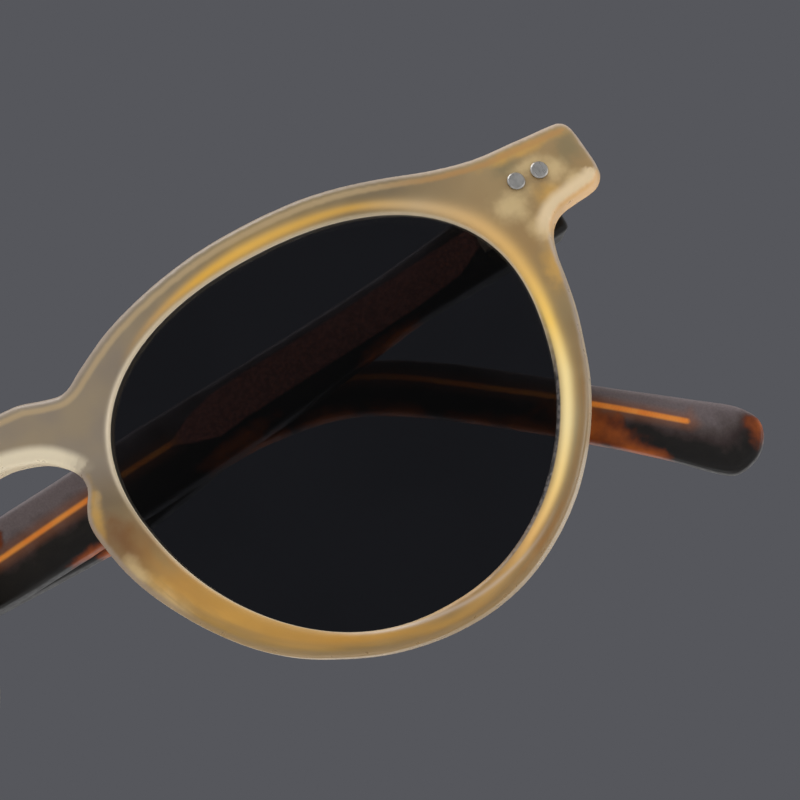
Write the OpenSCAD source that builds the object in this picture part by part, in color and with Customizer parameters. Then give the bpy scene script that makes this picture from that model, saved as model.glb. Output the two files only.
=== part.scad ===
// Folded sunglasses: a frosted acetate front with round panto lenses and a keyhole
// bridge, and two acetate temples that fold behind it on five-barrel hinges.
// +X points to the wearer's left, +Y from the front towards the ears, and +Z up.
// The origin lies on the plane of symmetry, on the foremost line of the front,
// at the height of the lens centres. Sizes are millimetres.
// The temples are drawn folded, the left one in front of the right one.

/* [Front] */
// Radius of the curved front face
front_r = 220; // [200:1:240]
// Thickness of the front
front_t = 4; // [3.8:0.1:4.2]
// Points that round off each stretch of an outline
outline_steps = 4; // [3:1:8]

/* [Lenses] */
// From the plane of symmetry to the middle of a lens
lens_cx = 39.2; // [38.9:0.1:39.5]
// Half of a lens opening's width, halfway up
lens_a = 24.7; // [24.4:0.1:24.9]
// Half of a lens opening's height
lens_b = 23.1; // [22.8:0.1:23.3]
// Roundness of an opening: 2 is an ellipse, and more is squarer
lens_power = 2.2; // [2:0.1:2.5]
// How much an opening widens towards the brow
panto = 0.19; // [0.1:0.01:0.22]
// Depth of the groove that holds a lens
groove = 0.75; // [0.5:0.05:1]
// Thickness of a lens
lens_t = 1.9; // [1.6:0.1:2.1]
// From the front face to a lens
lens_back = 1; // [0.8:0.1:1.1]
// Points around a lens opening
lens_steps = 72; // [48:4:120]

/* [Nose pads] */
// Radius of the ball that shapes the back of a pad
pad_ball = 12; // [11.5:0.1:12.5]
// Width of a pad
pad_w = 3.2; // [2.8:0.1:3.4]

/* [Temples] */
// Thickness of a temple at its hinge
butt_t = 4.6; // [4.2:0.1:4.8]
// Thickness of a temple from its middle to its tip
arm_t = 3.2; // [3:0.1:3.3]
// Angle that a folded temple makes with the front, one forwards and one backwards
lean = 1.45; // [1.4:0.01:1.6]
// Thickness of the core wire's blade
blade_t = 1; // [0.8:0.1:1.2]
// Thickness of the core wire
wire_t = 0.6; // [0.5:0.05:0.8]

/* [Hinges] */
// From the plane of symmetry to the middle of a pair of rivets
rivet_x = 71.1; // [70.9:0.1:71.3]
// Height of the rivets above the lens centres
rivet_z = 16.5; // [16.2:0.1:16.8]
// Distance between the two rivets of a pair
rivet_gap = 3.1; // [2.8:0.1:3.3]
// Radius of a rivet's head
rivet_head_r = 1.05; // [0.9:0.05:1.2]
// How far a rivet's head stands proud
rivet_proud = 0.35; // [0.25:0.05:0.5]
// Radius of a rivet's shank
rivet_r = 0.55; // [0.45:0.05:0.6]
// Height of the middle of a hinge
hinge_z = 15.6; // [15.4:0.1:15.8]
// Radius of a hinge barrel
barrel_r = 1.35; // [1.25:0.05:1.4]
// Height of one hinge barrel
barrel_h = 1.04; // [0.9:0.02:1.1]
// Radius of a hinge screw
screw_r = 0.6; // [0.5:0.05:0.7]
// Gap round the screw, and between neighbouring barrels
play = 0.05; // [0.04:0.01:0.08]
// Thickness of a hinge leaf
leaf_t = 0.8; // [0.7:0.1:0.9]

/* [Hidden] */

honey = [0.84, 0.72, 0.48];
tortoise = [0.2, 0.12, 0.09];
smoke = [0.16, 0.16, 0.18, 0.75];
steel = [0.75, 0.76, 0.78];
copper = [0.66, 0.38, 0.27];

back_r = front_r - front_t;
lens_r = front_r - lens_back;
leaf_inlay = leaf_t / 2;
// a front leaf reaches this far to the nose side of the rivets, and this long in all
leaf_front_start = -3.4;
leaf_front_w = 6;
// a temple leaf starts this far behind the hinge axis, and is this long
leaf_temple_start = 1.9;
leaf_temple_w = 7.3;
// the feet that join barrels to a leaf stay this far from the screw's middle line
foot_gap = 0.7;
foot_w = 1.6;
foot_d = 1;
// the end piece is turned from straight ahead by the curve of the front
end_turn = asin(rivet_x / front_r);
// the hinge axis in the end piece's own directions, then in the frame's
pin_back = 1.8;
pin_side = 2.1;
pin_r = back_r - pin_back;
pin_x = pin_r * sin(end_turn) + pin_side * cos(end_turn);
pin_y = front_r - pin_r * cos(end_turn) + pin_side * sin(end_turn);
pitch = barrel_h + play;
leaf_h = 4 * pitch + barrel_h;
// the plane of a temple's inner face, measured from the hinge axis
inner_y = 1.5;
arm_y = inner_y + arm_t;
butt_y = inner_y + butt_t;
core_y = inner_y + arm_t / 2;
temple_rivet_x = 4;

// right half of the front's outer outline: the top of the bridge, the brow, the end
// piece, round below the lens, and up past the nose to the arch of the bridge
front_half = [[0, 21.6], [4.5, 21.5], [8, 21.2], [10.8, 20.2], [13.4, 19.7], [16, 21.1],
  [20.6, 23.4], [25.5, 25], [30, 26], [34.4, 26.6], [38.9, 26.8], [43.4, 26.7],
  [47.9, 26.3], [52.3, 25.4], [56.7, 24.1], [61.7, 22.4], [66.7, 21.3], [71.8, 21.1],
  [75.8, 21], [77.4, 20.8], [78.2, 19.7], [78.5, 16.7], [78.6, 14.1], [77.9, 12.9],
  [76.8, 12.2], [74.3, 11.8], [72, 11.3], [70.3, 9.8], [69.4, 7.2], [68.9, 4.2],
  [68.2, 0.7], [67.2, -2.7], [65.5, -7.5], [63.1, -12], [60, -16.2], [56.6, -19.6],
  [52.7, -22.4], [48.5, -24.5], [44.1, -25.7], [39.4, -26], [34.9, -25.5], [30.4, -24.3],
  [26.2, -22.4], [22.1, -20], [18.5, -16.9], [15.4, -13.1], [13.1, -9.5], [11.2, -5.8],
  [9.8, -2], [9, 1.8], [8.7, 4.6], [9.4, 6.7], [10.5, 8.5], [10.4, 10.4], [9.1, 12.3],
  [7.4, 13.8], [5.2, 14.8], [2.9, 15.4], [0, 15.5]];

// side view of a temple: along the top edge to the tip and back along the lower edge,
// as distance from the hinge axis and height
temple_edge = [[-1.6, 20.6], [3, 19.8], [8, 18.7], [13, 18], [19, 17.4], [27, 16.9],
  [40, 16.5], [57, 16.2], [75, 15.6], [88, 15.1], [99, 14.3], [108.5, 12.4], [116.2, 9.1],
  [124.2, 3.6], [131.6, -2.5], [139, -8.5], [146.4, -14.5], [149.3, -16.9],
  [150.7, -18.8], [151.1, -20.2], [150.5, -21.9], [148.8, -23.5], [146, -24.1],
  [143.9, -22.9], [139, -17.9], [132.5, -12], [126, -6.5], [120.4, -1.9], [114.4, 2.5],
  [109, 5.4], [103, 7], [95, 7.8], [87, 6.6], [80, 5.7], [70, 5.9], [57, 6.5],
  [45, 7.3], [35, 8.1], [26, 9.2], [19, 10], [13, 10.1], [-1.6, 10.6]];

// side view of the core wire's blade, and the middle line of its wire
blade_edge = [[9.6, 16.5], [22, 15.9], [31, 15.5], [41, 15.3], [46, 15], [49.4, 14.1],
  [52.4, 12.6], [52.4, 12], [50.2, 11], [47, 10.1], [43, 10.5], [36, 10.8], [27, 11.1],
  [19, 11.5], [13, 12.2], [9.6, 12.8]];
wire_line = [[52, 12.3], [60, 12], [70, 11.4], [80, 10.8], [92, 10.9], [102, 10.7],
  [110, 9.5], [114.5, 7.6], [118.4, 5], [123.3, 1.2], [131.7, -5.5], [137.7, -10.5],
  [143.8, -15.9]];

// one value on a Catmull-Rom curve between b and c
function curve(a, b, c, d, t) =
  0.5 * (2 * b + (c - a) * t + (2 * a - 5 * b + 4 * c - d) * t * t
    + (3 * b - a - 3 * c + d) * t * t * t);

// a closed smooth loop through points
function loop(points, n) =
  let (count = len(points))
  [for (i = [0 : count - 1], j = [0 : n - 1])
    curve(points[(i + count - 1) % count], points[i], points[(i + 1) % count],
      points[(i + 2) % count], j / n)];

// an open smooth line through points
function line(points, n) =
  let (last = len(points) - 1)
  concat([for (i = [0 : last - 1], j = [0 : n - 1])
    curve(points[max(i - 1, 0)], points[i], points[i + 1],
      points[min(i + 2, last)], j / n)], [points[last]]);

// a half outline with its mirror image, from the top middle round to the top middle
function both_halves(half) =
  concat(half, [for (i = [len(half) - 2 : -1 : 1]) [-half[i][0], half[i][1]]]);

// outline of a lens opening, let out by grow
function lens_outline(grow) =
  [for (i = [0 : lens_steps - 1])
    let (turn = 360 * i / lens_steps,
      across = sign(cos(turn)) * pow(abs(cos(turn)), 2 / lens_power),
      up = sign(sin(turn)) * pow(abs(sin(turn)), 2 / lens_power))
    [lens_cx + (lens_a + grow) * across * (1 + panto * up), (lens_b + grow) * up]];

// unit vector to the left of a line, at its point i
function side_way(points, i) =
  let (a = points[max(i - 1, 0)], b = points[min(i + 1, len(points) - 1)], d = b - a)
  [-d[1], d[0]] / norm(d);

// outline of a band of the given width along a line
function band(points, width) =
  concat([for (i = [0 : len(points) - 1]) points[i] + side_way(points, i) * width / 2],
    [for (i = [len(points) - 1 : -1 : 0]) points[i] - side_way(points, i) * width / 2]);

// a side view outline made solid from y = near to y = far
module slab(points, near, far) {
  translate([0, far, 0])
    rotate([90, 0, 0])
      linear_extrude(far - near)
        polygon(points);
}

// everything between two radii of the front's curve
module shell(outer, inner) {
  translate([0, front_r, -40])
    difference() {
      cylinder(h = 80, r = outer, $fn = 720);
      translate([0, 0, -1])
        cylinder(h = 82, r = inner, $fn = 720);
    }
}

// side 1 is the wearer's left, and side -1 its mirror image
module on_side(side) {
  if (side > 0) children();
  else mirror([1, 0, 0]) children();
}

// directions of the end piece: -Y points straight out of its face
module at_end(side) {
  on_side(side)
    translate([0, front_r, 0])
      rotate([0, 0, end_turn])
        children();
}

// directions of a folded temple: the hinge axis is at the origin, X runs along the
// temple and Y from its inner face to its outer face
module at_temple(side) {
  translate([side * pin_x, pin_y, 0])
    on_side(-side)
      rotate([0, 0, -side * lean])
        children();
}

// a rivet along +Z, with the end of its shank at the origin
module rivet(shank) {
  top = shank + rivet_proud;
  rotate_extrude($fn = 48)
    polygon([[0, 0], [rivet_r, 0], [rivet_r, shank], [rivet_head_r, shank],
      [rivet_head_r, top - 0.15], [rivet_head_r - 0.15, top], [0, top]]);
}

// the barrels of a hinge whose numbers are listed, counted from the bottom
module barrels(numbers) {
  for (i = numbers)
    translate([0, 0, hinge_z - leaf_h / 2 + i * pitch])
      cylinder(h = barrel_h, r = barrel_r, $fn = 64);
}

// the bore for the screw
module screw_bore() {
  translate([0, 0, hinge_z - leaf_h])
    cylinder(h = 2 * leaf_h, r = screw_r + play, $fn = 64);
}

// the feet that join the listed barrels to their leaf, clear of the screw's bore
module barrel_feet(numbers, low) {
  for (i = numbers)
    translate([low[0], low[1], hinge_z - leaf_h / 2 + i * pitch])
      cube([foot_w, foot_d, barrel_h]);
}

module front_rivet_place(side, end) {
  at_end(side)
    translate([end * rivet_gap / 2, leaf_inlay - back_r, rivet_z])
      rotate([90, 0, 0])
        children();
}

module front() {
  color(honey)
    difference() {
      intersection() {
        slab(loop(both_halves(front_half), outline_steps), -1, 25);
        shell(front_r, back_r);
      }
      for (side = [1, -1]) {
        on_side(side)
          slab(lens_outline(0), -1, 25);
        intersection() {
          on_side(side)
            slab(lens_outline(groove), -1, 25);
          shell(lens_r, lens_r - lens_t);
        }
        at_end(side)
          translate([leaf_front_start, -back_r - leaf_inlay, hinge_z - leaf_h / 2])
            cube([leaf_front_w, 3, leaf_h]);
        for (end = [1, -1])
          front_rivet_place(side, end)
            cylinder(h = 8, r = rivet_r, $fn = 48);
      }
    }
}

module lens(side) {
  color(smoke)
    intersection() {
      on_side(side)
        slab(lens_outline(groove), -1, 25);
      shell(lens_r, lens_r - lens_t);
    }
}

// a pad is the band beside the nose, cut by a ball at its back
module nose_pad(side) {
  nose = line([[10.7, 7.4], [9.6, 5.2], [9.6, 1.7], [10.4, -2], [11.8, -5.9], [13.7, -9.7]], 4);
  color(honey)
    intersection() {
      on_side(side)
        slab(band([for (p = nose) p + [pad_w / 2, 0]], pad_w), 0, 12);
      on_side(side)
        translate([12, -2.6, -1])
          sphere(r = pad_ball, $fn = 96);
      translate([0, front_r, -40])
        cylinder(h = 80, r = back_r, $fn = 720);
    }
}

// the leaf that is let into the back of the end piece
module hinge_front(side) {
  color(steel)
    difference() {
      union() {
        at_end(side) {
          translate([leaf_front_start, -back_r - leaf_inlay, hinge_z - leaf_h / 2])
            cube([leaf_front_w, leaf_t, leaf_h]);
          barrel_feet([0, 2, 4], [pin_side - 1.05, -back_r]);
        }
        on_side(side)
          translate([pin_x, pin_y, 0])
            barrels([0, 2, 4]);
      }
      on_side(side)
        translate([pin_x, pin_y, 0])
          screw_bore();
      for (end = [1, -1])
        front_rivet_place(side, end)
          cylinder(h = 8, r = rivet_r, $fn = 48);
    }
}

// the leaf that is let into the inner face of the temple
module hinge_temple(side) {
  color(steel)
    at_temple(side)
      difference() {
        union() {
          translate([leaf_temple_start, inner_y - leaf_inlay, hinge_z - leaf_h / 2])
            cube([leaf_temple_w, leaf_t, leaf_h]);
          barrel_feet([1, 3], [foot_gap, 0.35]);
          barrels([1, 3]);
        }
        screw_bore();
        for (place = [0, 1])
          temple_rivet_place(place)
            translate([0, 0, -1])
              cylinder(h = 8, r = rivet_r, $fn = 48);
      }
}

module hinge_screw(side) {
  low = hinge_z - leaf_h / 2 - 0.3;
  top = hinge_z + leaf_h / 2;
  color(steel)
    on_side(side)
      translate([pin_x, pin_y, 0])
        difference() {
          union() {
            translate([0, 0, low])
              cylinder(h = top - low, r = screw_r, $fn = 64);
            translate([0, 0, top])
              cylinder(h = 0.55, r = 1.1, $fn = 64);
          }
          translate([-2, -0.15, top + 0.3])
            cube([4, 0.3, 1]);
        }
}

module rivet_front(side, end) {
  color(steel)
    front_rivet_place(side, end)
      rivet(front_t + leaf_inlay);
}

// a place for a temple's rivet, with +Z out of its outer face
module temple_rivet_place(place) {
  translate([temple_rivet_x + place * rivet_gap, inner_y - leaf_inlay, rivet_z])
    rotate([-90, 0, 0])
      children();
}

module rivet_temple(side, place) {
  color(steel)
    at_temple(side)
      temple_rivet_place(place)
        rivet(butt_t + leaf_inlay);
}

// the blade with the tang that reaches the butt, and the thin wire after it
module core(tang_start) {
  slab([[tang_start, 14.7], [10, 14.7], [10, 13.9], [tang_start, 13.9]],
    core_y - blade_t / 2, core_y + blade_t / 2);
  slab(blade_edge, core_y - blade_t / 2, core_y + blade_t / 2);
  slab(band(line(wire_line, 3), wire_t), core_y - wire_t / 2, core_y + wire_t / 2);
}

module core_wire(side) {
  color(copper)
    at_temple(side)
      core(0.6);
}

// top view of a temple, from the mitred butt to the tip
module temple_plan() {
  tip_x = 155;
  polygon([[-1.25, inner_y], [tip_x, inner_y], [tip_x, arm_y], [22, arm_y],
    [9, butt_y], [0.3, butt_y]]);
}

module temple(side) {
  color(tortoise)
    at_temple(side)
      difference() {
        intersection() {
          slab(line(temple_edge, outline_steps), 0, 8);
          translate([0, 0, -40])
            linear_extrude(80)
              temple_plan();
        }
        core(-3);
        translate([leaf_temple_start, inner_y - 1, hinge_z - leaf_h / 2])
          cube([leaf_temple_w, 1 + leaf_inlay, leaf_h]);
        for (place = [0, 1])
          temple_rivet_place(place)
            cylinder(h = 8, r = rivet_r, $fn = 48);
      }
}

front();
lens(1);  // lens_left
lens(-1);  // lens_right
nose_pad(1);  // nose_pad_left
nose_pad(-1);  // nose_pad_right
hinge_front(1);  // hinge_front_left
hinge_front(-1);  // hinge_front_right
hinge_screw(1);  // hinge_screw_left
hinge_screw(-1);  // hinge_screw_right
rivet_front(1, -1);  // rivet_front_left_inner
rivet_front(1, 1);  // rivet_front_left_outer
rivet_front(-1, -1);  // rivet_front_right_inner
rivet_front(-1, 1);  // rivet_front_right_outer
temple(1);  // temple_left
temple(-1);  // temple_right
core_wire(1);  // core_wire_left
core_wire(-1);  // core_wire_right
hinge_temple(1);  // hinge_temple_left
hinge_temple(-1);  // hinge_temple_right
rivet_temple(1, 0);  // rivet_temple_left_near
rivet_temple(1, 1);  // rivet_temple_left_far
rivet_temple(-1, 0);  // rivet_temple_right_near
rivet_temple(-1, 1);  // rivet_temple_right_far
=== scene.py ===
# %% [markdown]
# Folded acetate sunglasses.
# The imported model gives every solid at its real size and place. This script keeps those
# places and gives the object its looks: tumbled edges, frosted honey acetate with a glow painted
# round the lens, dark lenses, tortoise temples with a painted sheen and a metal core inside, and
# satin steel rivets and hinges. Each step says what the real piece is and how it is made here.
# Lengths are written in millimetres, and MM turns them into metres where a mesh needs them.

# %% Load the model
import math

import bpy
import numpy as np
from mathutils import Matrix, Vector
from mathutils.kdtree import KDTree


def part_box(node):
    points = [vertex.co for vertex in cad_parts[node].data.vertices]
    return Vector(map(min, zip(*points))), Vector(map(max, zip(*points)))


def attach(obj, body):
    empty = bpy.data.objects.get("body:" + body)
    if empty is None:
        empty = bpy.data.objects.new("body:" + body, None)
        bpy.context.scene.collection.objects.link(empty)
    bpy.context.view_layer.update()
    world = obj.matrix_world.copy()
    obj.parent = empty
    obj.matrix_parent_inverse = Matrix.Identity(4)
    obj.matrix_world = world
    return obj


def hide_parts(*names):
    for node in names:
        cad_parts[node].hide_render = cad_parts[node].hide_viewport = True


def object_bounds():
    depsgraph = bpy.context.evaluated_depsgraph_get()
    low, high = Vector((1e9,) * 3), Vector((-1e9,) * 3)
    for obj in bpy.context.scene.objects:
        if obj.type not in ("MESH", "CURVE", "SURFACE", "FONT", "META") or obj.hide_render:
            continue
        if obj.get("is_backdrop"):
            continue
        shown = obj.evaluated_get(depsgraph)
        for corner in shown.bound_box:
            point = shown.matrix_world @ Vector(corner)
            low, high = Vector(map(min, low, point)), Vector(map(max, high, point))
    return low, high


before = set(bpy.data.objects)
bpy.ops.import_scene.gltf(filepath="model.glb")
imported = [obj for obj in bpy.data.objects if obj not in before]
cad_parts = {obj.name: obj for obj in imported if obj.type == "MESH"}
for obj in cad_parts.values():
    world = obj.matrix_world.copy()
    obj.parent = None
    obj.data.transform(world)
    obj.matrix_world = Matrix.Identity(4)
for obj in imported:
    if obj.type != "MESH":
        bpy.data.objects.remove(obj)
cad_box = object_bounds()
SIDES = ("left", "right")
WAY = {"left": 1, "right": -1}
MM = 0.001
print(len(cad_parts), "nodes")
for corner in cad_box:
    print("corner in mm", [round(v / MM, 1) for v in corner])

# %% [markdown]
# The camera comes first, because every look is judged through it. The photograph is a close
# view of the wearer's left lens from a little below, with the glasses rolled so that the end
# piece points up and to the right. Three angles say this better than a matrix: how far the
# camera is turned, how steeply it looks up, and how far it is rolled about its own line of sight.

# %% Camera
camera_place = Vector((72.41, -302.05, -68.17)) * MM
camera_turn = 4.926
camera_tilt = 12.452
camera_roll = -29.659
sensor_width = 36.0
focal_length = 126.0

bpy.ops.object.select_all(action="DESELECT")
bpy.ops.object.camera_add(location=camera_place)
camera = bpy.context.object
camera.name = "photo_camera"
camera.data.sensor_width = sensor_width
camera.data.lens = focal_length
camera.data.clip_start = 0.01
looking = (
    Matrix.Rotation(math.radians(camera_turn), 3, "Z")
    @ Matrix.Rotation(math.radians(90 + camera_tilt), 3, "X")
    @ Matrix.Rotation(math.radians(camera_roll), 3, "Z")
)
camera.rotation_euler = looking.to_euler()
bpy.context.scene.camera = camera
picture_right = looking @ Vector((1, 0, 0))
picture_up = looking @ Vector((0, 1, 0))
ahead = looking @ Vector((0, 0, -1))
print("camera looks along", [round(v, 3) for v in ahead])

# %% [markdown]
# A node's mesh comes in as loose triangles, and the node itself is never changed. So a piece
# that needs another shape starts as a copy, which is merged before anything else is done to
# it. Modifiers are applied at once, because the next step works on what they made.

# %% Copies and modifiers


def only(piece):
    """Deselects everything and makes one piece active."""
    bpy.ops.object.select_all(action="DESELECT")
    piece.select_set(True)
    bpy.context.view_layer.objects.active = piece


# points nearer to each other than this, in mm, become one
merge_reach = 0.002


def copy_of(node, name):
    """A merged copy of a node's mesh, as a new piece at the origin."""
    piece = bpy.data.objects.new(name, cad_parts[node].data.copy())
    bpy.context.scene.collection.objects.link(piece)
    piece.data.materials.clear()
    only(piece)
    bpy.ops.object.mode_set(mode="EDIT")
    bpy.ops.mesh.select_all(action="SELECT")
    bpy.ops.mesh.remove_doubles(threshold=merge_reach * MM)
    bpy.ops.object.mode_set(mode="OBJECT")
    return piece


def apply_modifier(piece, kind, **settings):
    only(piece)
    bpy.ops.object.modifier_add(type=kind)
    modifier = piece.modifiers[-1]
    for key, value in settings.items():
        setattr(modifier, key, value)
    bpy.ops.object.modifier_apply(modifier=modifier.name)


def joined(piece, others):
    """Joins other pieces into one, before a remesh melts them together."""
    only(piece)
    for other in others:
        other.select_set(True)
    bpy.ops.object.join()


# %% [markdown]
# Real acetate frames are tumbled for days in a barrel of wood chips, which takes every edge
# off. A Bevel modifier stumbles over the many short edges of a traced outline. A voxel remesh
# followed by smoothing wears all edges at once, as the barrel does, so that is used. It is
# done on fine voxels first, since a sharp edge leaves steps as long as a few voxels, and then
# once more on larger ones, which keep the worn shape with a quarter of the faces.

# %% Tumbling

# the size of a voxel in mm, and how often the mesh is smoothed
TUMBLING = {"front": (0.31, 20), "pad": (0.2, 12), "temple": (0.3, 16)}


def tumbled(piece, kind):
    """Rounds all edges, as the barrel of wood chips does."""
    voxel, passes = TUMBLING[kind]
    apply_modifier(piece, "REMESH", mode="VOXEL", voxel_size=voxel * MM / 2)
    apply_modifier(piece, "SMOOTH", factor=0.5, iterations=4 * passes)
    apply_modifier(piece, "REMESH", mode="VOXEL", voxel_size=voxel * MM)
    apply_modifier(piece, "SMOOTH", factor=0.5, iterations=2)
    only(piece)
    bpy.ops.object.shade_smooth()
    print(piece.name, len(piece.data.polygons), "faces")


# %% [markdown]
# A finished piece needs its material, in the slot that names its finish, and the body that it
# moves with, while the node that it stands for is hidden. One helper does all of this, so none is
# forgotten.

# %% Finished pieces


def finished(piece, material, body, node):
    piece.data.materials.clear()
    piece.data.materials.append(material)
    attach(piece, body)
    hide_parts(node)
    print(piece.name, "rides on", body, "and stands for", node)


# %% [markdown]
# The lens outline is a rounded shape between an ellipse and a box, wider at the brow than at
# the cheek, which opticians call panto. One formula gives it, so the lens, the filled groove
# and the paint round the opening all follow the same line.

# %% Lens outline
lens_middle_x = 39.2
lens_half_width = 24.7
lens_half_height = 23.1
lens_power = 2.2
panto = 0.19
front_radius = 220
front_thickness = 4
# the cutter starts in front of the object and ends behind it
cutter_start = -5
cutter_length = 25


def outline_point(turn, grow):
    """The outline at an angle, in mm from the lens centre, grown by some mm."""
    across = math.copysign(abs(math.cos(turn)) ** (2 / lens_power), math.cos(turn))
    up = math.copysign(abs(math.sin(turn)) ** (2 / lens_power), math.sin(turn))
    return (lens_half_width + grow) * across * (1 + panto * up), (lens_half_height + grow) * up


def outline_cutter(side, grow):
    """A long straight prism of the outline, which cuts lenses to shape."""
    bpy.ops.object.select_all(action="DESELECT")
    bpy.ops.mesh.primitive_circle_add(vertices=180, radius=1, fill_type="NGON")
    cutter = bpy.context.object
    for vertex in cutter.data.vertices:
        x, z = outline_point(math.atan2(vertex.co.y, vertex.co.x), grow)
        vertex.co = Vector((WAY[side] * (lens_middle_x + x), cutter_start, z)) * MM
    bpy.ops.object.mode_set(mode="EDIT")
    bpy.ops.mesh.select_all(action="SELECT")
    bpy.ops.mesh.extrude_region_move(TRANSFORM_OT_translate={"value": (0, cutter_length * MM, 0)})
    bpy.ops.mesh.select_all(action="SELECT")
    bpy.ops.mesh.normals_make_consistent(inside=False)
    bpy.ops.object.mode_set(mode="OBJECT")
    return cutter


opening_points = [outline_point(math.radians(degree), 0) for degree in range(360)]
reach = [round(max(row), 1) for row in zip(*opening_points)]
print("the opening reaches", reach, "mm to the side and up")

# %% [markdown]
# A real lens starts as a round curved blank, and the optician's edger grinds it to the rim.
# The same is done here: a grid is laid on the curve of the front, given its thickness and cut
# by the outline. A grid keeps clean reflections, where a fan of thin triangles would show
# streaks. The rim hides the last bit of the lens in its groove.

# %% Lens blanks

# how far the lens lies under the face of the rim, and how far it reaches into the groove
lens_depth = 1
lens_bite = 0.35
lens_thickness = 1.9
blank_half_width = 31
blank_half_height = 25


def lens_piece(side):
    bpy.ops.object.select_all(action="DESELECT")
    bpy.ops.mesh.primitive_grid_add(x_subdivisions=64, y_subdivisions=52, size=2)
    lens = bpy.context.object
    lens.name = f"lens_glass_{side}"
    radius = front_radius - lens_depth
    for vertex in lens.data.vertices:
        x = WAY[side] * lens_middle_x + vertex.co.x * blank_half_width
        z = vertex.co.y * blank_half_height
        vertex.co = Vector((x, front_radius - math.sqrt(radius**2 - x**2), z)) * MM
    if lens.data.polygons[0].normal.y > 0:
        lens.data.flip_normals()
    apply_modifier(lens, "SOLIDIFY", thickness=lens_thickness * MM, offset=-1)
    cutter = outline_cutter(side, lens_bite)
    apply_modifier(lens, "BOOLEAN", operation="INTERSECT", object=cutter, solver="EXACT")
    bpy.data.objects.remove(cutter)
    only(lens)
    bpy.ops.object.shade_smooth_by_angle(angle=math.radians(30))
    return lens


lenses = {side: lens_piece(side) for side in SIDES}
for lens in lenses.values():
    print(lens.name, len(lens.data.polygons), "faces")

# %% [markdown]
# Behind the frosted surface the acetate is solid. The solids of the model have a groove for
# each lens and bores for the rivets. Left open, they would show through the acetate as rings of
# air, so the visual copy gets them filled: the groove by a ring of the lens itself, the bores
# by short pins that stay under the rivet heads.

# %% Groove rings and bore pins
ring_overlap = 0.05
pin_radius = 0.75
front_pin_length = 3.2
temple_pin_length = 3.4


def groove_ring(side):
    ring = copy_of(f"lens_{side}", f"ring_{side}")
    cutter = outline_cutter(side, -ring_overlap)
    apply_modifier(ring, "BOOLEAN", operation="DIFFERENCE", object=cutter, solver="EXACT")
    bpy.data.objects.remove(cutter)
    return ring


def bore_pin(place, direction, length):
    """A pin that fills a rivet's bore, square to the surface."""
    bpy.ops.object.select_all(action="DESELECT")
    bpy.ops.mesh.primitive_cylinder_add(
        vertices=24, radius=pin_radius * MM, depth=length * MM, location=place,
        rotation=direction.to_track_quat("Z", "Y").to_euler(),
    )
    pin = bpy.context.object
    bpy.ops.object.transform_apply(location=True, rotation=True, scale=True)
    return pin


def front_pin(node):
    low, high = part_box(node)
    middle = (low + high) / 2
    outwards = Vector((middle.x, middle.y - front_radius * MM, 0)).normalized()
    curve_middle = Vector((0, front_radius * MM, middle.z))
    place = curve_middle + outwards * (front_radius - front_thickness / 2) * MM
    return bore_pin(place, outwards, front_pin_length)


# %% [markdown]
# The front is milled from one honey-coloured sheet, with both rims, the bridge and the end
# pieces in one. Its copy is joined with the rings and pins, and the remesh in the tumbling
# melts them into one closed skin.

# %% Front
front_rivets = [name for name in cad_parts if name.startswith("rivet_front")]
front = copy_of("front", "acetate_front")
joined(front, [groove_ring(side) for side in SIDES] + [front_pin(name) for name in front_rivets])
tumbled(front, "front")

# %% [markdown]
# Clear acetate pipes light: it enters at the edges and comes out where the surface turns, so
# the frame glows gold round the opening and cream along its outline. Path tracing could find
# that light by itself, but only with thousands of samples. A painter's way is steadier: the
# mesh stores how far each point is from the opening and from the outline, and the material
# paints its bands by these two distances.

# %% Reading and storing on a mesh


def of_vertices(mesh, what):
    flat = np.empty(len(mesh.vertices) * 3)
    mesh.vertices.foreach_get(what, flat)
    return flat.reshape(-1, 3)


def points_of(mesh):
    return of_vertices(mesh, "co") / MM


def store(mesh, name, values):
    attribute = mesh.attributes.new(name, "FLOAT", "POINT")
    attribute.data.foreach_set("value", np.asarray(values, dtype=np.float32))


def search_tree(along, high):
    tree = KDTree(len(along))
    for number, (a, h) in enumerate(zip(along, high)):
        tree.insert((a, h, 0), number)
    tree.balance()
    return tree


# %% [markdown]
# The distance to the opening comes from the formula of the outline: how far its value is from
# 1, divided by its slope. The distance to the outer edge comes from a search tree of the
# points on the outer wall, on the front as if it were pressed flat.

# %% Distances on the front

# a point is on a wall where its normal has less than this share along the way out of the sheet
wall_limit = 0.45
# walls nearer to a lens than this, in mm, belong to its opening
opening_reach = 1.2


def lens_measure(x, z):
    """1 on the lens outline, less inside it and more outside."""
    up = z / lens_half_height
    across = (np.abs(x) - lens_middle_x) / (lens_half_width * (1 + panto * np.clip(up, -1, 1)))
    return (np.abs(across) ** lens_power + np.abs(up) ** lens_power) ** (1 / lens_power)


def opening_distance(points):
    x, z, step = points[:, 0], points[:, 2], 0.05
    here = lens_measure(x, z)
    slope_x = (lens_measure(x + step, z) - lens_measure(x - step, z)) / (2 * step)
    slope_z = (lens_measure(x, z + step) - lens_measure(x, z - step)) / (2 * step)
    return (here - 1) / np.maximum(np.hypot(slope_x, slope_z), 1e-4)


def unrolled(points):
    """Distance along the curve and height: the front as if it were pressed flat."""
    along = np.arctan2(points[:, 0], front_radius - points[:, 1]) * front_radius
    return np.array([along, points[:, 2]])


def outer_wall(piece):
    """A search tree of the points on the outer wall of the front, and how far each faces up."""
    points, normals = points_of(piece.data), of_vertices(piece.data, "normal")
    outwards = points * (1, 1, 0) - (0, front_radius, 0)
    outwards /= np.linalg.norm(outwards, axis=1)[:, None]
    steep = np.abs((normals * outwards).sum(axis=1)) < wall_limit
    wall = steep & (opening_distance(points) > opening_reach)
    return search_tree(*unrolled(points)[:, wall]), normals[wall, 2]


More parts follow.
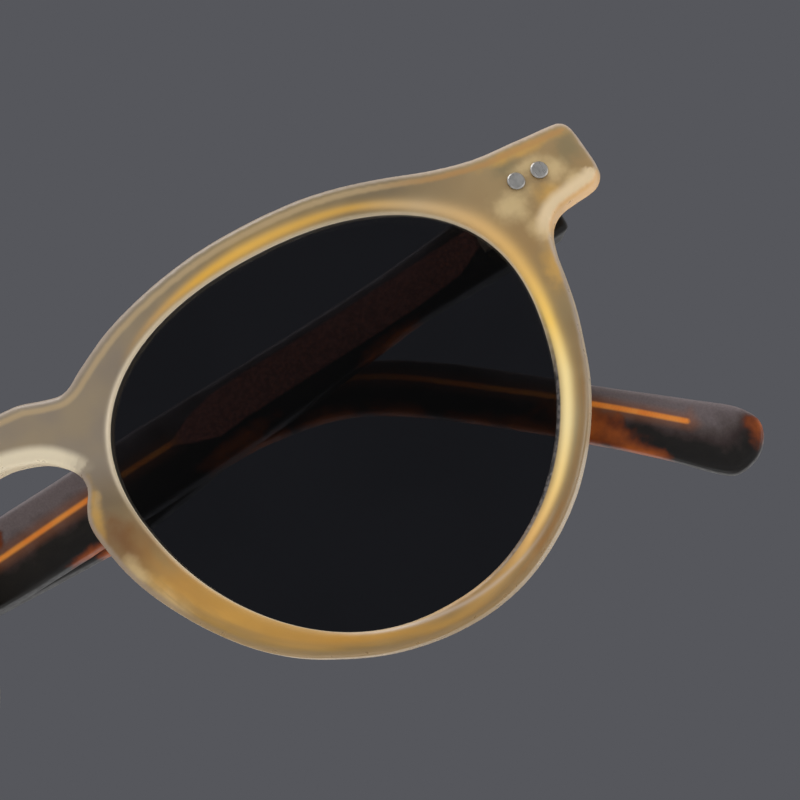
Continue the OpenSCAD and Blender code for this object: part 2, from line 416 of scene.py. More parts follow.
def store_distances(piece, wall):
    tree, facing_up = wall
    points = points_of(piece.data)
    store(piece.data, "from_opening", opening_distance(points))
    nearest = [tree.find((a, h, 0)) for a, h in unrolled(points).T]
    store(piece.data, "from_outline", [distance for place, number, distance in nearest])
    store(piece.data, "outline_up", [facing_up[number] for place, number, distance in nearest])
    along, high = unrolled(points)
    for name, places in GLOW_SPOTS.items():
        store(piece.data, name, spots(np.abs(along), high, places))


def spots(along, high, places):
    """How deep each point lies in a list of soft ellipses: 1 in a middle, 0 on a border."""
    depth = np.full(len(along), -1.0)
    for at, up, half_length, half_height, *tilt in places:
        turn = math.radians(sum(tilt))
        a, h = along - at, high - up
        lengthwise = (a * math.cos(turn) + h * math.sin(turn)) / half_length
        sideways = (h * math.cos(turn) - a * math.sin(turn)) / half_height
        depth = np.maximum(depth, 1 - np.hypot(lengthwise, sideways))
    return depth


# %% [markdown]
# The end piece and the neck of the bridge have glows of their own, where the hinge leaf behind
# throws light back and where the temple shows through. They are few, so each is given as an
# ellipse: its place along the curve, its height, half its length, half its width and its tilt
# in degrees.

# %% Glows on the end piece and the neck
# places of the painted glows and highlights on the end piece and the neck
GLOW_SPOTS = {
    "olive_spot": ((78.4, 17.4, 2.8, 2.8), (70.6, 18.6, 3.0, 1.6), (14.4, -3.4, 3.4, 0.9, -78)),
    "amber_spot": ((11.6, 1.6, 4.4, 2.4, -70), (80.2, 12.6, 1.6, 1.0)),
    "gold_spot": (
        (73.4, 13.2, 2.8, 2.0), (77.4, 11.8, 3.0, 1.3), (73.5, 19.6, 7.0, 1.0),
        (70.1, 5.8, 4.8, 2.0, 71), (10.2, 5.5, 4.4, 1.1, 75), (13.4, -6.6, 4.8, 1.2, -62),
        (17.8, -12.4, 4.5, 1.1, -50),
    ),
    "cream_spot": (
        (75.6, 15.9, 2.0, 2.4), (77.0, 13.6, 2.2, 1.6), (71.6, 10.2, 2.8, 2.6),
        (69.0, 14.0, 3.4, 2.6), (73.0, 17.6, 3.0, 1.2), (11.2, -3.2, 3.0, 1.3, -82),
        (12.6, -7.4, 4.2, 1.6, -61),
    ),
}
wall = outer_wall(front)
store_distances(front, wall)
print("distances stored for", len(front.data.vertices), "points")

# %% [markdown]
# Materials are built from nodes. One class adds a node with a short call and returns its output,
# so a finish reads like a recipe. The studio's backdrop uses it too. A second class starts a
# material, with its place in millimetres, since that is how a maker thinks, and with a running
# colour, over which each next colour is painted by a share.

# %% Short calls for nodes


class Nodes:
    """The nodes of a material or of the world."""

    def __init__(self, tree):
        self.nodes, self.links = tree.nodes, tree.links

    def add(self, kind, **settings):
        node = self.nodes.new("ShaderNode" + kind)
        for name, value in settings.items():
            setattr(node, name, value)
        return node

    def link(self, source, target):
        self.links.new(source, target)

    def feed(self, value, target):
        """Puts a number on a socket, or links an output to it."""
        if isinstance(value, bpy.types.NodeSocket):
            self.link(value, target)
        else:
            target.default_value = value

    def math(self, operation, a, b=0.0, clamp=False):
        node = self.add("Math", operation=operation, use_clamp=clamp)
        self.feed(a, node.inputs[0])
        self.feed(b, node.inputs[1])
        return node.outputs[0]

    def plus(self, a, b):
        return self.math("ADD", a, b)

    def minus(self, a, b):
        return self.math("SUBTRACT", a, b)

    def times(self, a, b):
        return self.math("MULTIPLY", a, b)

    def larger(self, a, b):
        return self.math("MAXIMUM", a, b)

    def between(self, value, low, high, out_low=0.0, out_high=1.0, smooth=True):
        """Maps a value from one span to another, softly at both ends."""
        node = self.add("MapRange", interpolation_type="SMOOTHSTEP" if smooth else "LINEAR")
        spans = {"From Min": low, "From Max": high, "To Min": out_low, "To Max": out_high}
        for name, number in spans.items():
            node.inputs[name].default_value = number
        self.feed(value, node.inputs["Value"])
        return node.outputs[0]

    def ramp(self, value, stops):
        """A colour ramp from (place, (three numbers)) stops."""
        node = self.add("ValToRGB")
        elements = node.color_ramp.elements
        for element, (position, colour) in zip(elements, (stops[0], stops[-1])):
            element.position, element.color = position, (*colour, 1)
        for position, colour in stops[1:-1]:
            elements.new(position).color = (*colour, 1)
        self.feed(value, node.inputs[0])
        return node.outputs["Color"]

    def split(self, colour):
        node = self.add("SeparateColor")
        self.link(colour, node.inputs[0])
        return node.outputs

    def mix(self, share, a, b, blend="MIX"):
        """Two colours mixed by a share."""
        node = self.add("Mix", data_type="RGBA", blend_type=blend)
        self.feed(share, node.inputs["Factor"])
        for value, name in ((a, "A"), (b, "B")):
            self.feed((*value, 1) if isinstance(value, tuple) else value, node.inputs[name])
        return node.outputs["Result"]


# %% [markdown]
# Every surface of the object has fine detail of its own, so noise and bump are part of the
# second class. A number that is the same all over a surface goes straight on the shader's socket.

# %% Finishes


class Finish(Nodes):
    """One material."""

    def __init__(self, name):
        self.material = bpy.data.materials.new(name)
        self.material.use_nodes = True
        super().__init__(self.material.node_tree)
        self.surface = self.nodes["Principled BSDF"]
        scale = self.add("VectorMath", operation="SCALE")
        scale.inputs["Scale"].default_value = 1 / MM
        self.link(self.add("TexCoord").outputs["Object"], scale.inputs[0])
        self.place = scale.outputs["Vector"]
        self.colour = None

    def attribute(self, name):
        return self.add("Attribute", attribute_name=name).outputs["Fac"]

    def axes(self):
        node = self.add("SeparateXYZ")
        self.link(self.place, node.inputs[0])
        return node.outputs

    def noise(self, scale, detail=3.0, stretch=(1, 1, 1)):
        """Noise with about one swing in 1/scale millimetres, and larger along a small stretch."""
        mapping = self.add("Mapping")
        mapping.inputs["Scale"].default_value = stretch
        self.link(self.place, mapping.inputs["Vector"])
        node = self.add("TexNoise")
        node.inputs["Scale"].default_value = scale
        node.inputs["Detail"].default_value = detail
        self.link(mapping.outputs[0], node.inputs["Vector"])
        return node.outputs["Fac"]

    def streaks(self, lengthwise, sideways):
        """Noise on two lengths of its own, which may follow a curve."""
        both = self.add("CombineXYZ")
        self.link(lengthwise, both.inputs["X"])
        self.link(sideways, both.inputs["Y"])
        node = self.add("TexNoise")
        node.inputs["Scale"].default_value = 1.0
        self.link(both.outputs[0], node.inputs["Vector"])
        return node.outputs["Fac"]

    def swing(self, scale, detail, low, high, share=0.3):
        """Even noise between two numbers. A share of it at each end is cut off."""
        return self.between(self.noise(scale, detail), share, 1 - share, low, high, smooth=False)

    def paint(self, share, colour):
        """Lays a colour over what is painted so far."""
        self.colour = self.mix(share, self.colour, colour)

    def bump(self, height, strength, depth):
        """Fine relief, its depth in millimetres."""
        node = self.add("Bump")
        node.inputs["Strength"].default_value = strength
        node.inputs["Distance"].default_value = depth * MM
        self.link(height, node.inputs["Height"])
        self.link(node.outputs[0], self.surface.inputs["Normal"])

    def set(self, **inputs):
        for name, value in inputs.items():
            self.feed(value, self.surface.inputs[name.replace("_", " ")])
        print(self.material.name, "has", len(self.nodes), "nodes")


# %% [markdown]
# Honey acetate. To paint it, the material first finds where a point lies: the angle round the
# lens in turns, the distances to the opening and to the outer edge, how deep it lies under the
# curve of the front, and whether the nearest stretch of the outer edge faces up or down.

# %% Honey acetate: where a point lies
honey = Finish("honey_acetate")
x, y, z = honey.axes()[:3]
beside = honey.math("ABSOLUTE", x)
turn = honey.math("ARCTAN2", z, honey.minus(beside, lens_middle_x))
turn = honey.math("FRACT", honey.math("DIVIDE", turn, math.tau))
opening = honey.attribute("from_opening")
outline = honey.attribute("from_outline")
facing = honey.attribute("outline_up")

to_curve = honey.minus(y, float(front_radius))
spoke = honey.math("SQRT", honey.plus(honey.times(x, x), honey.times(to_curve, to_curve)))
depth = honey.minus(float(front_radius), spoke)

upwards = honey.between(facing, 0.25, 0.8)
downwards = honey.times(honey.between(facing, -0.15, -0.7), honey.between(z, 1.0, 7.0))
end_piece = honey.times(honey.between(beside, 52.0, 64.0), honey.between(z, 3.0, 9.0))
print("places are found with", len(honey.nodes), "nodes")

# %% [markdown]
# The face is painted in the honey of the acetate together with the glow of the light piped
# through it: it goes from olive at the brow over grey-brown at the bridge to orange at the cheek,
# where the painted glow fills the rim, so a ramp over the angle gives it. A slow cloudiness, and
# the glows on the end piece and the neck, are painted over it.

# %% Honey acetate: face

# angle round the lens in degrees, and the colour there, the acetate's own with its painted glow
FACE_AND_GLOW = (
    (0, (0.31, 0.21, 0.09)), (18, (0.42, 0.26, 0.1)), (36, (0.41, 0.28, 0.13)),
    (52, (0.25, 0.185, 0.1)), (90, (0.33, 0.23, 0.1)), (106, (0.31, 0.235, 0.135)),
    (132, (0.31, 0.245, 0.18)), (158, (0.33, 0.265, 0.195)), (169, (0.2, 0.135, 0.07)),
    (184, (0.32, 0.175, 0.055)), (205, (0.44, 0.265, 0.065)), (236, (0.42, 0.265, 0.075)),
    (265, (0.42, 0.23, 0.06)), (285, (0.4, 0.2, 0.05)), (300, (0.42, 0.2, 0.05)),
    (318, (0.34, 0.2, 0.075)), (340, (0.35, 0.2, 0.07)), (360, (0.31, 0.21, 0.09)),
)
# share and colour of each kind of painted glow
GLOW_LOOKS = {
    "olive_spot": (0.7, (0.27, 0.22, 0.11)),
    "amber_spot": (0.95, (0.25, 0.11, 0.03)),
    "gold_spot": (0.75, (0.78, 0.45, 0.1)),
    "cream_spot": (0.68, (0.9, 0.68, 0.34)),
}


def in_turns(stops, scales=(1, 1, 1)):
    """Stops by the angle, as ramp stops: the angle in turns and three numbers.

    A stop holds a colour, three numbers, or one number that stands for all three.
    """
    ready = []
    for degrees, *numbers in stops:
        if isinstance(numbers[0], tuple):
            numbers = numbers[0]
        elif len(numbers) == 1:
            numbers = numbers * 3
        ready.append((degrees / 360, tuple(number / scale for number, scale in zip(numbers, scales))))
    return ready


honey.colour = honey.ramp(turn, in_turns(FACE_AND_GLOW))
honey.paint(honey.between(honey.noise(0.16, 2.0), 0.35, 0.7, 0.0, 0.3), (0.5, 0.36, 0.17))
drift = honey.swing(0.5, 3.0, -0.25, 0.25)
# the painted glows and highlights of the end piece and the neck go over the face
for name, (strength, tint) in GLOW_LOOKS.items():
    spot = honey.plus(honey.attribute(name), drift)
    honey.paint(honey.between(spot, -0.1, 0.9, 0.0, strength), tint)
print("the face follows", len(FACE_AND_GLOW), "colours and", len(GLOW_LOOKS), "kinds of glow")

# %% [markdown]
# Acetate is poured and rolled, which leaves faint streaks along the rim. A thin line is also
# painted inside the outer edge, where the back edge of the front shows through: pale light at the
# brow, where the edge faces up, and dark shade at the cheek.

# %% Honey acetate: streaks and lines


def thin_line(finish, distance, place, half_width):
    away = finish.math("ABSOLUTE", finish.minus(distance, place))
    return finish.between(away, half_width, 0.1)


flow = honey.streaks(honey.times(turn, 26.0), honey.times(opening, 1.7))
flow = honey.times(honey.between(flow, 0.45, 0.65), honey.between(z, -2.0, -9.0, 0.0, 0.4))
honey.paint(flow, (0.27, 0.2, 0.1))
# a painted line of light along the brow, where the outer edge faces up
brow_light_line = honey.times(thin_line(honey, outline, 1.15, 0.55), honey.times(upwards, 0.7))
honey.paint(brow_light_line, honey.mix(end_piece, (0.64, 0.46, 0.24), (0.6, 0.31, 0.09)))
# a painted dark line of shade along the cheek
cheek_shade_line = thin_line(honey, outline, 1.35, 0.4)
honey.paint(honey.times(cheek_shade_line, honey.between(z, -7.0, -12.0, 0.0, 0.4)), (0.24, 0.19, 0.11))
print("streaks and lines are in:", len(honey.nodes), "nodes so far")

# %% [markdown]
# Going round the lens, the painted glow changes its place, width and strength. So one ramp over
# the angle gives these three numbers as its red, green and blue, and the bell curve exp(-t*t)
# turns them into a soft band. The pale line of the back edge, a painted highlight, is a second
# band. A ramp holds numbers up to 1 only, so lengths in it are divided by the longest one, and
# multiplied again after it.

# %% Honey acetate: glow round the lens

# angle round the lens in degrees: place in mm, width in mm and strength of the glow
GLOW = (
    (0, 1.0, 0.75, 1.0), (15, 0.8, 1.1, 0.85), (30, 1.0, 1.3, 0.75), (45, 0.9, 1.0, 0.7),
    (60, 1.1, 0.55, 0.9), (75, 0.9, 0.75, 0.95), (92, 0.9, 0.8, 1.0), (105, 0.7, 0.65, 1.0),
    (120, 0.6, 0.5, 0.8), (135, 0.5, 0.4, 0.0), (172, 1.0, 0.8, 0.0), (183, 1.5, 1.6, 0.3),
    (195, 1.5, 2.0, 0.8), (212, 1.1, 1.9, 0.8), (228, 1.1, 1.6, 0.8), (242, 0.8, 0.9, 0.9),
    (256, 0.9, 0.7, 0.85), (270, 1.8, 0.8, 0.7), (288, 1.2, 0.8, 0.6), (300, 1.0, 0.6, 0.9),
    (316, 1.3, 0.65, 1.0), (332, 1.3, 0.85, 1.0), (346, 1.3, 0.85, 1.0), (360, 1.0, 0.75, 1.0),
)
# the colour of the glow
GLOW_COLOUR = (
    (0, (1.0, 0.64, 0.13)), (15, (0.86, 0.52, 0.14)), (30, (0.82, 0.5, 0.18)),
    (45, (0.75, 0.52, 0.26)), (60, (0.65, 0.36, 0.06)), (90, (0.8, 0.45, 0.07)),
    (105, (0.78, 0.42, 0.05)), (120, (0.6, 0.35, 0.11)), (180, (0.55, 0.27, 0.05)),
    (212, (0.58, 0.29, 0.04)), (240, (0.54, 0.26, 0.03)), (270, (0.5, 0.27, 0.05)),
    (300, (0.9, 0.54, 0.17)), (316, (1.0, 0.7, 0.25)), (332, (1.0, 0.8, 0.38)),
    (346, (1.0, 0.78, 0.34)), (360, (1.0, 0.64, 0.13)),
)
# the pale line of the back edge, a painted highlight, in the terms of the glow
BACK_EDGE_HIGHLIGHT = (
    (0, 1, 0.3, 0), (232, 0.0, 0.15, 0), (242, 0.05, 0.2, 0.5), (256, 0.3, 0.22, 0.75),
    (270, 0.7, 0.25, 0.75), (285, 1.2, 0.25, 0.6), (300, 1.8, 0.2, 0.4), (312, 2.1, 0.2, 0),
    (360, 1, 0.3, 0),
)
# no place or width above is more than this, in mm
longest = 4.0


def soft_band(finish, turn, stops, distance):
    """A band with soft sides, whose place, width and strength follow the angle."""
    stops = in_turns(stops, (longest, longest, 1))
    place, width, strength = finish.split(finish.ramp(turn, stops))[:3]
    away = finish.minus(distance, finish.times(place, longest))
    share = finish.math("DIVIDE", away, finish.times(width, longest))
    bell = finish.math("POWER", math.e, finish.times(finish.times(share, share), -1.0))
    return finish.math("MULTIPLY", bell, strength, clamp=True)


glow = soft_band(honey, turn, GLOW, opening)
honey.paint(glow, honey.ramp(turn, in_turns(GLOW_COLOUR)))
# the painted highlight where the back edge shows through
honey.paint(soft_band(honey, turn, BACK_EDGE_HIGHLIGHT, opening), (0.66, 0.52, 0.4))
print("the glow follows", len(GLOW), "places and", len(GLOW_COLOUR), "colours")

# %% [markdown]
# Light leaves the acetate at its edges and walls, and is painted there as a glow. Undersides glow
# cream, and gold on the end piece, while edges that face up only show a soft pale or brown border
# of painted sheen.

# %% Honey acetate: edges and walls
# the colours of the painted glow on the undersides, walls and lip
cream = (1.0, 0.87, 0.63)
gold = (0.95, 0.58, 0.24)
lip_cream = (1.0, 0.84, 0.6)

# a painted glow on the undersides: cream, and gold on the end piece
gold_rim_glow = honey.mix(honey.between(outline, 0.1, 0.6), gold, (1.0, 0.78, 0.48))
underside_glow = honey.mix(end_piece, cream, gold_rim_glow)
honey.paint(honey.times(downwards, honey.between(outline, 2.3, 1.1)), underside_glow)

# a painted sheen along the outer edges, brown low on the rim, pale higher up and on the end piece
border = honey.mix(honey.between(z, -14.0, 0.0), (0.39, 0.26, 0.12), (0.42, 0.33, 0.255))
border = honey.mix(end_piece, border, (0.62, 0.5, 0.4))
not_downwards = honey.between(downwards, 0.0, 0.6, 1.0, 0.0)
honey.paint(honey.times(honey.between(outline, 0.15, 0.75, 0.85, 0.0), not_downwards), border)

# a painted glow on the walls: cream or gold, and cream at the lip
wall_share = honey.times(honey.between(depth, 0.4, 1.0), honey.between(depth, 3.6, 3.0))
wall_glow_colour = honey.mix(downwards, (0.7, 0.55, 0.36), honey.mix(end_piece, cream, gold))
honey.paint(wall_share, honey.mix(honey.between(opening, 0.6, 0.2), wall_glow_colour, lip_cream))
print("edges and walls are in:", len(honey.nodes), "nodes so far")

# %% [markdown]
# The lip of the opening is the brightest line of all, since the light that runs through the
# sheet comes out there. Where the dark edge of the lens stands behind it, it goes dark.

# %% Honey acetate: lip and groove

# the lip, in the terms of the glow
LIP = (
    (0, 0.0, 0.2, 0.7), (30, 0.0, 0.2, 0.8), (60, 0.0, 0.22, 0.5), (110, 0.0, 0.22, 0.6),
    (150, 0.0, 0.35, 1.0), (163, 0.0, 0.3, 0.7), (172, 0.0, 0.2, 0.3), (190, 0.0, 0.2, 0.5),
    (225, 0.0, 0.15, 0.25), (265, 0.1, 0.15, 0.2), (300, 0.2, 0.25, 0.2), (360, 0.0, 0.2, 0.7),
)
# angle round the lens in degrees, and how much of the dark edge of the lens shows there
GROOVE = ((0, 0.3), (8, 0.0), (280, 0.0), (292, 0.7), (310, 1.0), (345, 1.0), (360, 0.3))

honey.paint(soft_band(honey, turn, LIP, opening), lip_cream)
groove = honey.split(honey.ramp(turn, in_turns(GROOVE)))[0]
groove = honey.times(groove, honey.between(opening, 0.6, 0.4))
mottle = honey.between(honey.noise(2.0, 3.0), 0.4, 0.6)
honey.paint(groove, honey.mix(mottle, (0.02, 0.018, 0.018), (0.11, 0.095, 0.09)))
print("the lip follows", len(LIP), "places")

# %% [markdown]
# The surface is frosted: rough, with a grain of a tenth of a millimetre, and a little smoother
# where hands polish the edges. A little light goes through it, but not where the glow is
# painted, because there it has come out already.

# %% Honey acetate: frosted surface
acetate_ior = 1.49

worn = honey.between(outline, 0.1, 0.9, -0.1, 0.0)
painted_light = honey.larger(glow, honey.between(opening, 0.5, 0.1))
honey.set(
    Base_Color=honey.colour,
    Roughness=honey.plus(honey.between(honey.noise(0.6, 3.0), 0.3, 0.7, 0.36, 0.48), worn),
    Transmission_Weight=honey.between(painted_light, 0.0, 1.0, 0.3, 0.06),
    IOR=acetate_ior,
)
honey.bump(honey.noise(7.0, 4.0), 0.35, 0.02)
finished(front, honey.material, "front", "front")

# %% [markdown]
# The nose pads are small drops of the same acetate, glued to the rims and tumbled with them.
# The solids have the shape already, so their copies are only tumbled, on finer voxels because
# they are small, and they take their colours from the front's own distances.

# %% Nose pads
for side in SIDES:
    pad = copy_of(f"nose_pad_{side}", f"acetate_pad_{side}")
    tumbled(pad, "pad")
    store_distances(pad, wall)
    finished(pad, honey.material, "front", f"nose_pad_{side}")

# %% [markdown]
# The lenses are dyed through and polished, and let about a tenth of the light pass. A perfectly
# smooth surface keeps their reflections sharp. The dye is never quite even, which a slow
# noise of a few percent shows.

# %% Lens glass
glass = Finish("dark_glass")
dye = glass.between(glass.noise(0.05, 2.0), 0.35, 0.65)
glass.set(
    Base_Color=glass.mix(dye, (0.068, 0.07, 0.079), (0.075, 0.077, 0.087)),
    Roughness=0.0,
    IOR=1.5,
    Transmission_Weight=1.0,
)
for side in SIDES:
    finished(lenses[side], glass.material, "front", f"lens_{side}")

# %% [markdown]
# The temples are cut from tortoise sheet, which is poured from chips of dark brown and amber
# acetate, so amber patches with soft, ragged borders lie in a dark ground. Pure noise would put
# them anywhere. Here the mesh stores how deep each point lies in a list of patches, given along
# and across the temple as a maker would mark them on the blank, and noise frays their borders.

# %% Temple patches

# along the temple from its hinge in mm, height from its lower edge, 0, to its upper edge, 1,
# half length in mm, and half height as a share of the temple's width
PATCHES = {
    "left": (
        (24, 0.0, 5, 0.2), (46, 0.1, 6, 0.16), (67, -0.05, 4, 0.13), (78.5, 0.8, 3, 0.22),
        (88, 0.0, 5, 0.2), (99, 0.0, 5, 0.26), (107, 0.45, 4, 0.22), (118, 0.0, 5, 0.3),
        (136, 0.0, 5, 0.22), (151.4, 0.4, 2.6, 0.6),
    ),
    "right": (
        (14, 0.1, 5, 0.18), (26, 0.9, 5, 0.17), (41, 0.1, 5, 0.17), (57, 0.95, 6, 0.14),
        (77.5, 0.0, 3.2, 0.16), (86, 0.85, 5, 0.17), (98.5, 0.0, 5, 0.24), (107, 0.0, 5, 0.3),
        (115, 0.0, 4, 0.28), (122, 0.0, 3, 0.2), (128, 0.0, 5, 0.28), (133.2, 0.28, 5.6, 0.42),
        (137.6, 0.0, 2.8, 0.22), (151.8, 0.4, 2.8, 0.7),
    ),
}
# where the painted sheen is strongest, in the same terms
SHEEN_SPOTS = {
    "left": ((70, 0.9, 20, 0.6), (20, 0.9, 14, 0.5)),
    "right": ((142.5, 0.9, 8, 0.6), (60, 0.9, 30, 0.5)),
}
# how much a folded temple leans from the line of the front
lean = math.radians(1.45)
across_temple = Vector((-math.sin(lean), math.cos(lean), 0))
hinge_pins = {side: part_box(f"hinge_screw_{side}") for side in SIDES}


def along_temple(points, side):
    """How far points lie along a temple from its hinge pin, in mm."""
    low, high = hinge_pins[side]
    pin = (low + high) / 2 / MM
    way = -WAY[side]
    sideways, backwards = points[:, 0] - pin.x, points[:, 1] - pin.y
    return way * sideways * math.cos(lean) + way * backwards * math.sin(lean)


def store_patches(piece, side):
    """Stores how far along and how high each point lies, and how deep in a patch."""
    points, normals = points_of(piece.data), of_vertices(piece.data, "normal")
    along, high = along_temple(points, side), points[:, 2]
    rim = np.abs(normals @ np.array(across_temple)) < wall_limit
    away = []
    for facing in (normals[:, 2] < -0.3, normals[:, 2] > 0.3):
        tree = search_tree(along[rim & facing], high[rim & facing])
        away.append(np.array([tree.find((a, h, 0))[2] for a, h in zip(along, high)]))
    rise = away[0] / (away[0] + away[1] + 0.01)
    store(piece.data, "along", along)
    store(piece.data, "rise", rise)
    store(piece.data, "in_patch", spots(along, rise, PATCHES[side]))
    store(piece.data, "in_sheen", np.maximum(spots(along, rise, SHEEN_SPOTS[side]), 0))
    print(piece.name, "runs from", round(along.min(), 1), "to", round(along.max(), 1), "mm")


for side in SIDES:
    print("the", side, "temple has", len(PATCHES[side]), "amber patches")

# %% [markdown]
# Over the metal core the acetate is thin, so the core shows through as a rose strip, and
# further back as one bright orange line. The outline of the core's own mesh tells how far each
# point is from it, below zero inside.

# %% Core on the temples


def store_core(piece, side):
    core = copy_of(f"core_wire_{side}", f"core_outline_{side}")
    points, normals = points_of(core.data), of_vertices(core.data, "normal")
    along, high = along_temple(points, side), points[:, 2]
    bpy.data.objects.remove(core)
    edges = []
    for facing in (normals[:, 2] > 0, normals[:, 2] <= 0):
        order = np.argsort(along[facing])
        edges.append((along[facing][order], high[facing][order]))
    points = points_of(piece.data)
    at, height = along_temple(points, side), points[:, 2]
    top, bottom = (np.interp(at, *edge) for edge in edges)
    gap = np.maximum.reduce([height - top, bottom - height, at - along.max()])
    store(piece.data, "from_core", gap)
    print(piece.name, "has the core behind", int((gap < 0).sum()), "of", len(gap), "points")


# %% [markdown]
# The ground is a very dark brown, amber a deep orange with a red border. The light from above on
# the frosted surface is painted into the ground as a pale mauve sheen, which grows from the middle
# of the temple to its upper edge and fades towards the hinge.

# %% Tortoise acetate: ground, painted sheen and patches

# the ground with its painted sheen, from the lower edge, 0, to the upper edge, 1
SHEEN = (
    (0.0, (0.004, 0.003, 0.003)), (0.35, (0.008, 0.006, 0.005)), (0.5, (0.035, 0.02, 0.019)),
    (0.75, (0.09, 0.066, 0.064)), (1.0, (0.18, 0.145, 0.15)),
)
# amber from the border of a patch, 0, to its middle, 1
AMBER = ((0.0, (0.06, 0.011, 0.003)), (0.35, (0.16, 0.032, 0.005)), (0.8, (0.34, 0.075, 0.007)))

tortoise = Finish("tortoise_acetate")
along, rise, from_core = (tortoise.attribute(name) for name in ("along", "rise", "from_core"))
cloud = tortoise.noise(0.3, 4.0)
# the painted sheen: higher up the temple and in its brightest spots the ground is painted paler, and
# less so near the hinge
height = tortoise.plus(rise, tortoise.between(cloud, 0.3, 0.7, -0.14, 0.14, smooth=False))
height = tortoise.plus(height, tortoise.times(tortoise.attribute("in_sheen"), 0.4))
height = tortoise.times(height, tortoise.between(along, 4.0, 22.0, 0.4, 1.0))
grain = tortoise.swing(4.0, 2.0, 0.88, 1.12)
tortoise.colour = tortoise.mix(1.0, tortoise.ramp(height, SHEEN), grain, "MULTIPLY")

frayed = tortoise.swing(0.45, 5.0, -0.35, 0.35, share=0.25)
frayed = tortoise.plus(tortoise.attribute("in_patch"), frayed)
amber = tortoise.between(frayed, -0.1, 0.35)
tortoise.paint(amber, tortoise.ramp(frayed, AMBER))
print("ground and patches take", len(tortoise.nodes), "nodes")

# %% [markdown]
# The core has two parts: a flat blade near the hinge, and a thin wire behind it, round which a
# little glow is painted on the acetate. The acetate lets some light through, except over the core
# and the amber, where the colour stands for that light already.

# %% Tortoise acetate: core and surface
blade_end = 52.4

on_wire = tortoise.between(along, blade_end - 1.5, blade_end + 1.5)
# a painted glow round the wire
wire_glow = tortoise.between(from_core, 1.6, 0.0, 0.0, 0.4)
tortoise.paint(tortoise.times(wire_glow, on_wire), (0.4, 0.12, 0.03))
core = tortoise.between(from_core, 0.25, -0.2)
specks = tortoise.between(tortoise.noise(2.2, 4.0), 0.42, 0.58)
blade = tortoise.mix(specks, (0.27, 0.09, 0.07), (0.46, 0.17, 0.13))
wire = tortoise.mix(tortoise.between(cloud, 0.3, 0.7), (0.95, 0.25, 0.025), (1.0, 0.36, 0.05))
tortoise.paint(tortoise.times(core, 0.9), tortoise.mix(on_wire, blade, wire))
tortoise.set(
    Base_Color=tortoise.colour,
    Roughness=tortoise.between(tortoise.noise(1.2, 3.0), 0.3, 0.7, 0.34, 0.46),
    Transmission_Weight=tortoise.between(tortoise.larger(amber, core), 0.0, 1.0, 0.3, 0.1),
    IOR=acetate_ior,
    Specular_IOR_Level=0.25,
)
tortoise.bump(tortoise.noise(7.0, 4.0), 0.3, 0.015)

# %% [markdown]
# A temple's own mesh has a slot for the core and bores for the rivets. The copy gets both
# filled before it is tumbled, since the paint now shows the core.

# %% Temples


def temple_pin(node):
    low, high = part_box(node)
    return bore_pin((low + high) / 2, across_temple, temple_pin_length)


for side in SIDES:
    temple = copy_of(f"temple_{side}", f"acetate_temple_{side}")
    pins = [temple_pin(f"rivet_temple_{side}_{place}") for place in ("near", "far")]
    joined(temple, [copy_of(f"core_wire_{side}", f"core_fill_{side}")] + pins)
    tumbled(temple, "temple")
    store_patches(temple, side)
    store_core(temple, side)
    finished(temple, tortoise.material, f"{side}_temple", f"temple_{side}")

# %% [markdown]
# The metal pieces are right as they are, so the nodes stay and only get their finish. Rivets
# and hinges are satin steel, with fine scratches from the belt. The core is a copper-coloured
# strip that was rolled with a fine grain so that the acetate grips it.

# %% Metals
steel = Finish("satin_steel")
scratches = steel.noise(6.0, 4.0, stretch=(1.0, 1.0, 0.08))
shade = steel.between(steel.noise(1.5, 3.0), 0.3, 0.7)
steel.set(
    Base_Color=steel.mix(shade, (0.4, 0.395, 0.385), (0.5, 0.49, 0.475)),
    Roughness=steel.between(scratches, 0.3, 0.7, 0.26, 0.4),
    Metallic=1.0,
)
steel.bump(scratches, 0.3, 0.01)

copper = Finish("rolled_copper")
grain = copper.noise(3.2, 5.0)
copper.set(
    Base_Color=copper.mix(copper.between(grain, 0.42, 0.62), (0.6, 0.3, 0.22), (0.95, 0.58, 0.42)),
    Roughness=copper.between(grain, 0.3, 0.7, 0.4, 0.6),
    Metallic=0.5,
)
copper.bump(grain, 0.6, 0.05)

METALS = {"hinge": steel, "rivet": steel, "core": copper}
for name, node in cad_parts.items():
    metal = METALS.get(name.split("_")[0])
    if metal:
        node.data.materials.clear()
        node.data.materials.append(metal.material)
        print(name, "is", metal.material.name)

# %% [markdown]
# The photograph looks up from below, so a floor would stand between the camera and the glasses.
# Its underside is therefore clear, and from above it is a plain pale surface that takes the
# object's shadow.

# %% Floor
floor_gap = 0.5 * MM
floor_radius = 3000 * MM

bpy.ops.object.select_all(action="DESELECT")
bpy.ops.mesh.primitive_circle_add(
    vertices=96, radius=floor_radius, fill_type="NGON", location=(0, 0, cad_box[0][2] - floor_gap)
)
floor = bpy.context.object
floor.name = "floor"
pale = Finish("pale_floor")
dust = pale.between(pale.noise(0.5, 4.0), 0.3, 0.7)
pale.set(Base_Color=pale.mix(dust, (0.59, 0.59, 0.595), (0.61, 0.61, 0.61)), Roughness=0.9)
either = pale.add("MixShader")
pale.link(pale.add("NewGeometry").outputs["Backfacing"], either.inputs[0])
pale.link(pale.surface.outputs[0], either.inputs[1])
pale.link(pale.add("BsdfTransparent").outputs[0], either.inputs[2])
pale.link(either.outputs[0], pale.nodes["Material Output"].inputs["Surface"])
floor.data.materials.append(pale.material)
floor.visible_shadow = False
floor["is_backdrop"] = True

# %% [markdown]
# The studio is a grey backdrop with light all round the object, except for the dark side
# that the camera stands on, so that the polished lenses stay black. Rough surfaces also see
# it dark below, which keeps the lower edges of the temples deep. What the camera sees
# directly, or sharply through a lens, is always the backdrop.

